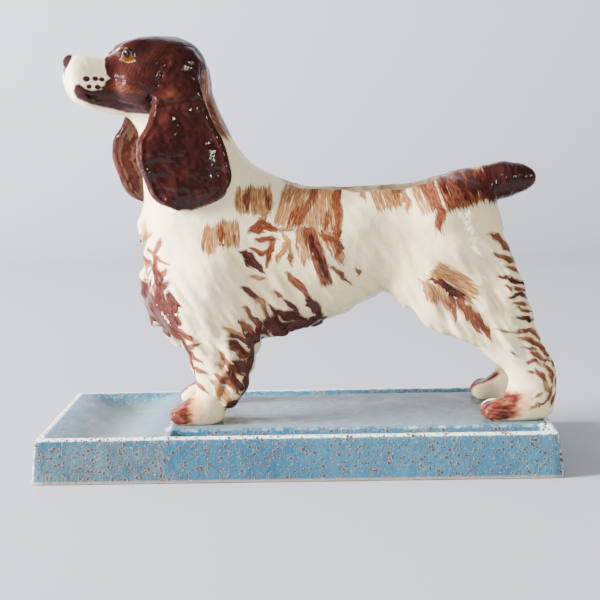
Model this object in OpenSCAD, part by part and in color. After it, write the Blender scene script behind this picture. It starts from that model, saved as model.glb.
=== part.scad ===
// Glazed ceramic spaniel caddy: a hollow dog with an open back, standing on a coin tray.
// Origin at the centre of the tray's underside, +X towards the tail, +Z up.
// The dog looks towards -X, with its head turned to its left (-Y).

/* [Tray] */
// Length of the tray along its foot
tray_length = 254; // [250:1:262]
// Width of the tray along its foot
tray_width = 115; // [112:1:122]
// Height of the tray's rim
tray_height = 21.5; // [20.5:0.5:22]
// How far each side leans in from foot to rim
tray_draft = 3.3; // [2:0.1:4]
// Radius of the tray's upright corners
tray_corner = 3; // [1:0.5:5]
// Width of the rim round the trough
rim_width = 2.7; // [2:0.1:4]
// Depth of the trough round the standing pad
trough_depth = 3.5; // [2:0.1:4]
// Deepest point of the coin dish below the rim
dish_depth = 7; // [5:0.5:9]

/* [Dog] */
// How far the head is turned to the dog's left, in degrees
head_turn = 19; // [10:1:24]
// Length of the open slot in the back
slot_length = 82; // [70:1:84]
// Width of the open slot in the back
slot_width = 28; // [22:1:30]
// Half of the distance between the front paws
front_stance = 24; // [22:1:25]
// Half of the distance between the hind paws
hind_stance = 25; // [23:1:26]
// Largest thickness of an ear
ear_thickness = 8; // [6:0.5:10]

/* [Hidden] */
ring = 28;           // sides of the ovals that the dog's body is skinned over
plate = 0.02;        // thickness of one such oval
clear = 1;           // how far a cutting shape passes a face
pad_rise = 0.5;      // the standing pad's top above the rim
pad_z = tray_height + pad_rise;
pad_left = -62;      // the ridge between coin dish and pad
pad_right = tray_length / 2 - tray_draft - rim_width;
pad_front = -39;
pad_back = 37.5;
rim_x = tray_length / 2 - tray_draft - rim_width;
rim_y = tray_width / 2 - tray_draft - rim_width;
dish_left = -rim_x + 0.5;
dish_right = pad_left - 1;
neck_z = 148;        // the level where the head casting is luted to the torso
head_pivot = [-50, 0, 0];
slot_start = -5;
slot_floor = 120;

// [x, underside, top, half width] down the length of the body
torso_ovals = [
    [-77, 96, 120, 4], [-74, 80, 140, 14], [-68, 70, 148, 21], [-60, 62, 156, 25],
    [-50, 58, 160, 27.5], [-38, 56, 160, 29], [-28, 56, 154, 30], [-18, 58, 148, 30.5],
    [-8, 61, 143, 30.5], [5, 65, 140, 30], [20, 70, 139, 29], [34, 78, 139, 28],
    [48, 84, 139, 27.5], [62, 85, 139.5, 28], [74, 84, 141, 28], [84, 84, 141.5, 26.5],
    [93, 88, 137, 23], [99, 95, 130, 17], [103, 104, 120, 7]];
cavity_ovals = [
    [-52, 92, 122, 10], [-42, 74, 132, 18], [-25, 66, 132, 23], [-8, 69, 131, 24],
    [10, 74, 130, 23.5], [28, 82, 130, 22.5], [48, 91, 130, 21.5], [66, 93, 130, 21],
    [78, 96, 130, 17]];
// [x, underside, top, half width] forward from the head's pivot
head_ovals = [
    [-62, 190, 202, 4], [-60, 184, 203.5, 8], [-55, 179, 203.5, 10], [-46, 176, 203.5, 11.5],
    [-39, 174.5, 206, 13], [-33, 174, 209.5, 15.5], [-24, 173, 211.5, 18.5],
    [-12, 171, 211.5, 20.5], [-2, 172, 209, 19.5], [4, 178, 203, 15], [7, 184, 196, 8]];
// [z, front, back, half width] up the neck
neck_ovals = [
    [130, -77, -12, 28], [140, -78, -14, 26], [148, -78, -21, 24], [156, -78, -26, 22],
    [164, -79, -31, 20.5], [172, -80, -34, 19.5], [180, -78, -37, 19], [188, -74, -40, 18],
    [196, -68, -43, 15]];
// [z, front, back, outward shift] up an ear, from the ear's own middle line
ear_ovals = [
    [128, -6, 5, 30.5], [130.5, -12, 12, 31], [135, -16.5, 19, 31.5], [143, -19.5, 22.5, 31.5],
    [153, -22.5, 21, 30.5], [162, -21, 18, 29], [175, -15, 12.5, 26], [184, -12.5, 10, 24],
    [193, -8, 8.5, 21], [201, -5, 6, 16]];
// how far each ear is swung round, in degrees, and its middle line in plan
left_ear_turn = 8;
left_ear_place = [-55.3, 0, 0];
right_ear_turn = head_turn;
right_ear_place = [-62, -5, 0];
// [x, z, radius] along the docked tail
tail_balls = [[88, 131, 8], [94, 133, 8.5], [99, 135, 8.7], [104, 136.8, 8.7],
              [109, 138.2, 8.2], [113, 139, 7], [116, 138.8, 5], [118.2, 138.6, 3]];
// [z, front, back, half width, inward shift] up a leg
foreleg_ovals = [
    [pad_z, -58, -38, 6.5, 0], [pad_z + 3, -62.5, -35, 8.5, 0], [27, -63, -34.5, 8.5, 0],
    [31, -59, -33, 7.5, 0], [36, -51, -27, 6.5, 0.5], [43, -52, -21, 7, 1],
    [52, -54.5, -18, 8, 2], [61, -60, -15, 9.5, 3], [70, -66, -12, 11, 4.5],
    [82, -70, -10, 12.5, 6], [96, -70, -14, 13.5, 8], [110, -62, -22, 12, 10]];
hind_leg_ovals = [
    [pad_z, 94, 121, 6.5, 0], [pad_z + 3, 90.5, 125, 9, 0], [28, 93, 126, 9, 0],
    [33, 101, 127, 7.5, 0], [40, 103, 127, 6.5, 0.5], [47, 100, 126, 7, 1],
    [54, 92, 122, 8, 2], [61, 80, 118, 9.5, 3], [69, 60, 115, 11, 4],
    [80, 54, 114, 12, 5], [92, 47, 110, 12.5, 6], [104, 48, 105, 12, 7.5], [116, 60, 99, 9, 10]];

// ---- skins over rows of ovals ----

module upright_oval(oval) {
    translate([oval[0], 0, (oval[1] + oval[2]) / 2])
        rotate([90, 0, 90])
            linear_extrude(plate, center = true)
                scale([oval[3], (oval[2] - oval[1]) / 2])
                    circle(1, $fn = ring);
}

module level_oval(oval, side_y) {
    translate([(oval[1] + oval[2]) / 2, side_y, oval[0]])
        linear_extrude(plate)
            scale([(oval[2] - oval[1]) / 2, oval[3]])
                circle(1, $fn = ring);
}

module upright_skin(ovals) {
    for (i = [0 : len(ovals) - 2])
        hull() {
            upright_oval(ovals[i]);
            upright_oval(ovals[i + 1]);
        }
}

// ---- tray ----

module drafted_block() {
    intersection() {
        rotate([90, 0, 0])
            linear_extrude(tray_width, center = true)
                polygon([[-tray_length / 2, 0], [tray_length / 2, 0],
                         [tray_length / 2 - tray_draft, tray_height],
                         [-tray_length / 2 + tray_draft, tray_height]]);
        rotate([90, 0, 90])
            linear_extrude(tray_length, center = true)
                polygon([[-tray_width / 2, 0], [tray_width / 2, 0],
                         [tray_width / 2 - tray_draft, tray_height],
                         [-tray_width / 2 + tray_draft, tray_height]]);
        rounded_block([-tray_length / 2, -tray_width / 2, 0],
                      [tray_length / 2, tray_width / 2, tray_height], tray_corner);
    }
}

module rounded_block(low, high, radius) {
    size = high - low;
    translate(low) {
        translate([radius, 0, 0]) cube([size.x - 2 * radius, size.y, size.z]);
        translate([0, radius, 0]) cube([size.x, size.y - 2 * radius, size.z]);
        for (x = [radius, size.x - radius], y = [radius, size.y - radius])
            translate([x, y, 0]) cylinder(h = size.z, r = radius, $fn = 48);
    }
}

function dish_floor(t) = tray_height - dish_depth * (1 - cos(360 * t)) / 2;

module coin_dish() {
    steps = 16;
    span = dish_right - dish_left;
    floor_line = [for (i = [0 : steps]) [dish_left + span * i / steps, dish_floor(i / steps)]];
    rotate([90, 0, 0])
        linear_extrude(2 * rim_y, center = true)
            polygon(concat([[dish_left, pad_z + clear]], floor_line, [[dish_right, pad_z + clear]]));
}

module trough() {
    difference() {
        rounded_block([pad_left + 2, -rim_y, tray_height - trough_depth],
                      [rim_x, rim_y, pad_z + clear], tray_corner);
        standing_pad();
    }
}

module standing_pad() {
    rounded_block([pad_left, pad_front, tray_height - trough_depth - clear],
                  [pad_right, pad_back, pad_z], tray_corner);
}

module base_tray() {
    color("#8fb9cf") {
        difference() {
            drafted_block();
            coin_dish();
            trough();
        }
        intersection() {
            standing_pad();
            translate([pad_left, -rim_y, tray_height - clear])
                cube([tray_length, 2 * rim_y, clear + pad_rise]);
        }
    }
}

// ---- dog ----

module neck_skin() {
    for (i = [0 : len(neck_ovals) - 2])
        hull() {
            level_oval(neck_ovals[i], 0);
            level_oval(neck_ovals[i + 1], 0);
        }
}

module body_skin() {
    intersection() {
        union() {
            upright_skin(torso_ovals);
            neck_skin();
        }
        translate([-100, -50, 0]) cube([220, 100, neck_z]);
    }
}

module back_slot() {
    for (x = [slot_start + slot_width / 2, slot_start + slot_length - slot_width / 2])
        translate([x, 0, slot_floor]) cylinder(h = 40, d = slot_width, $fn = 48);
    translate([slot_start + slot_width / 2, -slot_width / 2, slot_floor])
        cube([slot_length - slot_width, slot_width, 40]);
}

module torso_shell() {
    color("#f1eadf")
        difference() {
            body_skin();
            upright_skin(cavity_ovals);
            back_slot();
        }
}

module head_skin() {
    translate(head_pivot) rotate([0, 0, head_turn]) upright_skin(head_ovals);
    difference() {
        neck_skin();
        translate([-100, -50, 0]) cube([220, 100, neck_z]);
    }
}

module head() {
    color("#5b2c20") head_skin();
}

// side is -1 for the dog's left and +1 for its right
module ear(side, place, turn) {
    difference() {
        translate(place)
            rotate([0, 0, turn])
                for (i = [0 : len(ear_ovals) - 2])
                    hull()
                        for (oval = [ear_ovals[i], ear_ovals[i + 1]])
                            level_oval([oval[0], oval[1], oval[2], ear_thickness / 2], side * oval[3]);
        head_skin();
        body_skin();
    }
}

module left_ear() {
    color("#4a211a") ear(-1, left_ear_place, left_ear_turn);
}

module right_ear() {
    color("#4a211a") ear(1, right_ear_place, right_ear_turn);
}

module tail() {
    color("#5b2c20")
        difference() {
            for (i = [0 : len(tail_balls) - 2])
                hull()
                    for (ball = [tail_balls[i], tail_balls[i + 1]])
                        translate([ball[0], 0, ball[1]]) sphere(ball[2], $fn = ring);
            body_skin();
        }
}

module leg(ovals, stance, side) {
    difference() {
        for (i = [0 : len(ovals) - 2])
            hull()
                for (oval = [ovals[i], ovals[i + 1]])
                    level_oval(oval, side * (stance - oval[4]));
        body_skin();
    }
}

module front_left_leg() {
    color("#e8ddcf") leg(foreleg_ovals, front_stance, -1);
}

module front_right_leg() {
    color("#e8ddcf") leg(foreleg_ovals, front_stance, 1);
}

module hind_left_leg() {
    color("#e8ddcf") leg(hind_leg_ovals, hind_stance, -1);
}

module hind_right_leg() {
    color("#e8ddcf") leg(hind_leg_ovals, hind_stance, 1);
}

base_tray();
torso_shell();
head();
left_ear();
right_ear();
tail();
front_left_leg();
front_right_leg();
hind_left_leg();
hind_right_leg();
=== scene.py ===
import math
import bpy
import numpy as np
from mathutils import Matrix, Vector


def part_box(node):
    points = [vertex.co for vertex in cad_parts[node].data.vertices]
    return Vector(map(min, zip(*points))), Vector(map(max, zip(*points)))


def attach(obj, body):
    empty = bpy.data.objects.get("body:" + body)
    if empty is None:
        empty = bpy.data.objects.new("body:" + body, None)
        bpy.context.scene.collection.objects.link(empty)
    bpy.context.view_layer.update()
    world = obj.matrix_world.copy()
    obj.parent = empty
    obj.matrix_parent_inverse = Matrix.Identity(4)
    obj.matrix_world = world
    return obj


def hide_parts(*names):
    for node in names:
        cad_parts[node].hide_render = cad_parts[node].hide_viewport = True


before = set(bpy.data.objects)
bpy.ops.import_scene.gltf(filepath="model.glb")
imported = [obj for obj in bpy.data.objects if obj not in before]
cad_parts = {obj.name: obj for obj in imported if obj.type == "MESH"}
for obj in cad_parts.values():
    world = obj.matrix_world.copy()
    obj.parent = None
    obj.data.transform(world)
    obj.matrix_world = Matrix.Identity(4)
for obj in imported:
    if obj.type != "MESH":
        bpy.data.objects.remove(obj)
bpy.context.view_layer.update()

MM = 0.001

# ---- places taken from the frame, in millimetres ----

def node_box(name):
    """A node's two far corners."""
    low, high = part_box(name)
    return [v / MM for v in low], [v / MM for v in high]


PAD_Z = node_box("front_left_leg")[0][2]      # top of the standing pad
NECK_Z = node_box("head")[0][2]               # where the head casting is luted on
TRAY_HIGH = node_box("base_tray")[1]          # half the tray's foot each way, and its height

# ---- named places on the dog, in millimetres ----

HEAD_PIVOT_X = -50.0                          # the head turns about this place on the midline
HEAD_TURN = math.radians(19)
WALL = 5.0                                    # thickness of the hollow body's wall
POCKET_FRONT, POCKET_BACK = -50, 86           # ends of the hollow in the body
SLOT_BOTTOM = 118                             # the slot's straight sides go down to here
SLOT_MIDDLE, SLOT_HALF_WIDTH, SLOT_REACH = 36.0, 13.5, 41.0          # its reach is half its length
FORE_TOE_X, HIND_TOE_X = -62.5, 90.5          # tips of the toes
FORE_STANCE, HIND_STANCE = 24, 25             # middles of the paws, from the midline
FORE_TOP, HIND_TOP = 76.0, 90.0               # where the legs are luted on
TAIL_JOINT_X, TAIL_JOINT_Z = 97, 134          # a place on the slanted joint at the tail's root
PAW_TOP = 40                                  # a piece that reaches below this has a paw
TORSO_STEP, HEAD_STEP, LEG_STEP, TAIL_STEP = 1.0, 0.7, 0.75, 0.6     # how finely each is sampled

# ---- a little field modelling: blocks of samples, in millimetres ----


class Block:
    """A box of space sampled at even steps."""

    def __init__(self, low, high, step):
        self.low = np.array(low, np.float32)
        self.step = step
        counts = [int(math.ceil((b - a) / step)) + 1 for a, b in zip(low, high)]
        axes = [a + step * np.arange(n, dtype=np.float32) for a, n in zip(low, counts)]
        self.x = axes[0][:, None, None]
        self.y = axes[1][None, :, None]
        self.z = axes[2][None, None, :]
        self.shape = tuple(counts)

    def window(self, low, high):
        """The slices of this block that a smaller box covers, and their coordinates."""
        cuts = []
        for axis, n in enumerate(self.shape):
            first = int(math.floor((low[axis] - self.low[axis]) / self.step))
            last = int(math.ceil((high[axis] - self.low[axis]) / self.step)) + 1
            first, last = max(first, 0), min(last, n)
            if last - first < 1:
                return None
            cuts.append(slice(first, last))
        return (tuple(cuts), self.x[cuts[0]], self.y[:, cuts[1]], self.z[:, :, cuts[2]])


def curve(t, knots):
    """Smooth monotone curves through rows of [t, value, value, ...], flat past both ends."""
    rows = np.array(knots, np.float64)
    k = rows[:, 0]
    flat = np.clip(np.asarray(t, np.float64), k[0], k[-1])
    i = np.clip(np.searchsorted(k, flat) - 1, 0, len(k) - 2)
    h = np.diff(k)
    s = (flat - k[i]) / h[i]
    result = []
    for column in rows.T[1:]:
        d = np.diff(column) / h
        m = np.zeros(len(k))
        m[0], m[-1] = d[0], d[-1]
        same = d[:-1] * d[1:] > 0
        w1, w2 = 2 * h[1:] + h[:-1], h[1:] + 2 * h[:-1]
        safe = np.where(same, d[:-1] * d[1:], 1)
        m[1:-1] = np.where(same, (w1 + w2) * safe / (w1 * d[1:] + w2 * d[:-1] + (~same)), 0)
        a, b = column[i], column[i + 1]
        value = (a * (1 + 2 * s) * (1 - s) ** 2 + b * s * s * (3 - 2 * s)
                 + h[i] * (m[i] * s * (1 - s) ** 2 - m[i + 1] * s * s * (1 - s)))
        result.append(value.astype(np.float32))
    return result


def smooth_union(a, b, k):
    """Two fields joined, with a fillet about k wide."""
    h = np.maximum(k - np.abs(a - b), 0) / k
    return np.minimum(a, b) - h * h * k / 4


def smooth_cut(a, b, k):
    """What a holds and b doesn't."""
    return -smooth_union(-a, b, k)


def oval(p, q, half_p, half_q, power=2.2):
    """A rounded section's field: negative inside, about a distance near its edge."""
    r = (np.abs(p / half_p) ** power + np.abs(q / half_q) ** power) ** (1 / power)
    return (r - 1) * np.minimum(half_p, half_q)


def past(t, first, last):
    """How far t lies outside the stretch from first to last."""
    return np.maximum(np.maximum(first - t, t - last), 0)


def closed(section, beyond):
    """A section's field, rounded off where a place lies beyond the ends of its rows."""
    return np.where(beyond > 0, np.sqrt(np.maximum(section, 0) ** 2 + beyond ** 2), section)


def add_lock(block, field, points, radii, k, flat=1.0):
    """Blend a tapering lock or bulge, through the points, into the field."""
    points = np.array(points, np.float32)
    reach = max(radii) + k + 2
    got = block.window(points.min(0) - reach, points.max(0) + reach)
    if got is None:
        return
    cut, x, y, z = got
    best = None
    for a, b, ra, rb in zip(points[:-1], points[1:], radii[:-1], radii[1:]):
        d = b - a
        t = ((x - a[0]) * d[0] + (y - a[1]) * d[1] + (z - a[2]) * d[2]) / float(d @ d)
        t = np.clip(t, 0, 1)
        dy = (y - a[1] - t * d[1]) / flat
        dist = np.sqrt((x - a[0] - t * d[0]) ** 2 + dy ** 2 + (z - a[2] - t * d[2]) ** 2)
        dist = dist - (ra + (rb - ra) * t)
        best = dist if best is None else smooth_union(best, dist, 1.5)
    field[cut] = smooth_union(field[cut], best, k)


def add_ball(block, field, centre, size, k, turn=0.0):
    """Blend an ellipsoid into the field; turn swings it about the upright axis."""
    reach = max(size) + k + 2
    centre = np.array(centre, np.float32)
    got = block.window(centre - reach, centre + reach)
    if got is None:
        return
    cut, x, y, z = got
    dx, dy = x - centre[0], y - centre[1]
    c, s = math.cos(turn), math.sin(turn)
    u, v, w = c * dx + s * dy, c * dy - s * dx, z - centre[2]
    r = np.sqrt((u / size[0]) ** 2 + (v / size[1]) ** 2 + (w / size[2]) ** 2)
    g = np.sqrt((u / size[0] ** 2) ** 2 + (v / size[1] ** 2) ** 2 + (w / size[2] ** 2) ** 2)
    ball = r * (r - 1) / np.maximum(g, 1e-4)
    field[cut] = smooth_union(field[cut], ball, k) if k > 0 else smooth_cut(field[cut], ball, -k)


def noise(x, y, z, seed):
    """Smooth lattice noise from -1 to 1, the same every run."""
    x, y, z = np.broadcast_arrays(x, y, z)
    cells = [np.floor(v).astype(np.int32) for v in (x, y, z)]
    part = [v - c for v, c in zip((x, y, z), cells)]
    ease = [p * p * (3 - 2 * p) for p in part]
    total = 0
    for corner in range(8):
        bits = [(corner >> axis) & 1 for axis in range(3)]
        h = seed * 374761393
        for c, b, prime in zip(cells, bits, (73856093, 19349663, 83492791)):
            h = h ^ ((c + b).astype(np.int64) * prime)
        h = (h ^ (h >> 13)) * 1274126177 & 0x7FFFFFFF
        value = (h ^ (h >> 16)) % 65536 / 32767.5 - 1
        weight = 1
        for e, b in zip(ease, bits):
            weight = weight * (e if b else 1 - e)
        total = total + value * weight
    return total.astype(np.float32)


# ---- the dog's shape: rows of [place along, edges, half width], in millimetres ----

# [x, underside, top, half width] down the barrel
BARREL = [
    [-60, 74, 122, 18], [-45, 62, 134, 26], [-30, 58, 139, 29], [-15, 60, 140.5, 30.5],
    [-5, 62.5, 139.6, 30.5], [8, 66, 138.6, 30.3], [20, 70.5, 138.0, 29.5], [34, 78, 137.8, 28],
    [48, 84, 138, 26.5], [62, 87, 139, 26.5], [74, 88, 141, 27], [84, 89, 141.5, 26],
    [92, 92, 138.5, 22.5], [98, 98, 131, 17], [102, 106, 122, 9], [104, 111, 117, 3]]
# [z, front, back, half width] up the chest and neck
CHEST = [
    [60, -60, -34, 7], [66, -65, -28, 14], [72, -71, -22, 20], [80, -75, -15, 24.5],
    [90, -73.5, -11, 27.5], [100, -71.5, -9, 29], [110, -72, -8, 29.5], [120, -73, -8, 29.5],
    [130, -74.3, -10, 28.5], [140, -74.8, -15, 26.5], [148, -75, -21.5, 24], [156, -75.5, -27, 22],
    [164, -76.5, -31.5, 20.5], [172, -79, -35, 19.5], [180, -78, -38, 19], [188, -74, -41, 18.5],
    [196, -67, -44, 16], [203, -60, -50, 8]]
# [z, front, back, half width, distance from the midline] up a foreleg
FORELEG = [
    [22, -57.5, -38, 7.2, 24], [24, -61, -36, 8.8, 24], [27, -62, -35, 9, 24],
    [30, -60, -34.5, 8.4, 24], [33, -55, -34, 7.4, 24], [37, -49.5, -32.5, 6.8, 23.8],
    [43, -49.5, -31, 6.8, 23.5], [50, -51.5, -29, 7.3, 23], [56, -53.5, -27, 8.2, 22],
    [62, -57, -24, 9.5, 21], [70, -63, -20, 11, 19.5], [80, -69, -17, 12.5, 17.5],
    [92, -70, -17, 13, 16], [104, -66, -22, 11, 15], [112, -58, -30, 7, 14]]
# the same up a hind leg
HIND_LEG = [
    [22, 92.5, 121.5, 7.4, 25], [24, 90.5, 124.5, 9, 25], [28, 92, 126, 9, 25],
    [32, 99, 126.5, 8, 25], [36, 103, 127, 7, 25], [41, 104, 127, 6.5, 24.5],
    [46, 102, 126, 6.8, 24], [51, 95.5, 123.5, 7.4, 23], [56, 89.5, 121, 8.2, 22.5],
    [61, 80, 117, 9.2, 22], [66, 66, 114.5, 10.2, 21], [72, 59, 113, 11.2, 20],
    [79, 54, 111.5, 12.2, 19], [87, 48, 109, 12.7, 18], [95, 47, 105.5, 12.7, 17],
    [104, 51, 102, 12, 16], [112, 60, 101, 10, 15], [120, 70, 97, 6, 14]]
# [forward of the pivot, underside, top, half width] along the head
SKULL = [
    [-8, 188, 196, 6], [-5, 181, 203, 13], [1, 175, 208, 18], [8, 172, 210.8, 20],
    [17, 171.5, 211.2, 19.8], [25, 172.5, 210.6, 18], [30, 173, 208.6, 16],
    [34.5, 173.5, 205.6, 14.3], [39, 174, 203.0, 12.9], [43, 174.8, 201.9, 12], [49, 176, 202.3, 11.4],
    [54, 178, 202.4, 10.6], [58, 180.6, 201.8, 9.4], [60.3, 184.5, 200, 7.6], [61.5, 188, 197, 5]]
# (forward, outward, z) of the groove between the lips, and of the one in front of an ear
LIP_LINE = [(54, 9.6, 183.4), (49, 11.4, 181.2), (38.5, 12, 179), (32, 13.6, 177), (29, 15.6, 177)]
EAR_LINE = [(13, 20.2, 203), (16.5, 20.8, 195), (21, 20.8, 187), (25, 19, 180)]
# [z, front, back, outward] up an ear, from the ear's own middle line
EAR = [
    [128, -6, 5, 30.5], [130.5, -12, 12, 31], [135, -16.5, 19, 31.5], [143, -19.5, 22.5, 31.5],
    [153, -22.5, 21, 30.5], [160, -22, 19, 29.5], [168, -17.5, 15, 27.5], [175, -15, 12.5, 26],
    [184, -12.5, 10, 24], [191, -8, 8.5, 21.5], [197, -7, 8, 18.5], [202, -5, 6, 14]]
# per side: the ear's middle in plan, and how far it is swung round
EAR_PLACES = {-1: ((-55.3, 0), math.radians(8)), 1: ((-62, -5), math.radians(19))}

# Locks and bulges: rows of points (x, y, z) with radii; y is mirrored for the other side.
LEG_FEATHER = [
    ([(-26, 22, 84), (-20.5, 23, 74), (-21.5, 24, 66)], [6, 4.8, 2.8]),
    ([(-32, 23, 73), (-23.5, 24, 63), (-24.5, 25, 54)], [6.5, 5.4, 3.6]),
    ([(-36, 24, 62), (-26, 25, 52.5), (-27.5, 26, 44)], [6, 5.6, 4]),
    ([(-40, 24, 52), (-30, 25.5, 42), (-33.5, 26.5, 34.5)], [6, 6.6, 5.2]),
    ([(-35, 28, 64), (-32, 30, 54), (-34, 30.5, 47)], [3.5, 2.6, 1.2]),
    ([(-40, 28, 54), (-37, 29.5, 45), (-38.5, 30, 38)], [3.2, 2.6, 1.1])]
CHEST_TUFTS = [
    ([(-68, 3, 130), (-74.5, 4, 119), (-76, 5, 111)], [6, 3.4, 1.8]),
    ([(-64, 9, 116), (-71.5, 10, 104), (-73, 10, 95)], [6, 3.6, 1.8]),
    ([(-68, 2.5, 104), (-74, 3, 93), (-75.5, 3, 84)], [6, 4, 2.2]),
    ([(-60, 12, 98), (-67, 13, 86), (-69, 12, 76)], [6.5, 4.2, 2]),
    ([(-64, 4, 86), (-71, 4, 78), (-71, 4, 70)], [7, 4.6, 2.6]),
    ([(-57, 7, 74), (-62, 7, 66), (-59, 6, 59)], [7, 4.5, 2.4])]
BELLY_TUFTS = [
    ([(-18, 15, 74), (-12, 16, 67), (-6, 15, 65)], [6, 3.6, 1.8]),
    ([(-8, 16, 76), (-1, 16, 69.5), (5, 15, 68.5)], [6, 3.6, 1.8]),
    ([(2, 16, 80), (9, 15, 73.5), (15.5, 14, 73)], [6, 3.6, 1.6]),
    ([(-12, 23, 86), (-3, 22.5, 79), (3, 21, 77)], [4, 2.6, 1.2]),
    ([(0, 22, 90), (8, 21.5, 83), (13, 20, 81)], [4, 2.6, 1.2])]
HIND_FEATHER = [
    ([(97, 17, 112), (102, 18, 103), (104.5, 18, 96)], [4, 2.6, 1.2]),
    ([(103, 18, 98), (108, 19, 89), (109.5, 19, 81)], [4, 2.6, 1.2]),
    ([(107, 20, 84), (111, 20, 75), (112.4, 20, 67)], [4, 2.6, 1.3]),
    ([(112, 21, 66), (116, 22, 60), (119, 22, 54)], [4, 2.6, 1.2]),
    ([(119, 23, 54), (123, 23.5, 48), (124.8, 24, 41)], [4, 2.6, 1.4])]
MUSCLES = [
    ([(-56, 17, 118), (-40, 20, 98), (-46, 20, 78)], [10, 12.5, 8]),
    ([(72, 14, 122), (78, 16, 104), (70, 18, 84)], [12, 14, 9]),
    ([(96, 16, 100), (104, 19, 84), (108, 21, 68)], [9, 8, 5.5])]
TAIL = ([(84, 0, 133.5), (96, 0, 135), (105, 0, 137.2), (112, 0, 138.2), (115.6, 0, 138.4)],
        [8, 9, 8.8, 7.2, 5.2])

# ---- the painted decoration: brush marks by colour, half width and the line they follow ----

LIGHT, MIDDLE, DARK = "light", "middle", "dark"
FULL = 6.0  # how far inside a mark a place is, in millimetres, is kept between -FULL and FULL
RIGHT_SHIFT, RIGHT_SWAY = 2.5, 1.5  # how the right side's marks are moved from the left side's
BROAD = 3  # half width from which a mark is a broad dry-brush patch with straight ends

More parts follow.
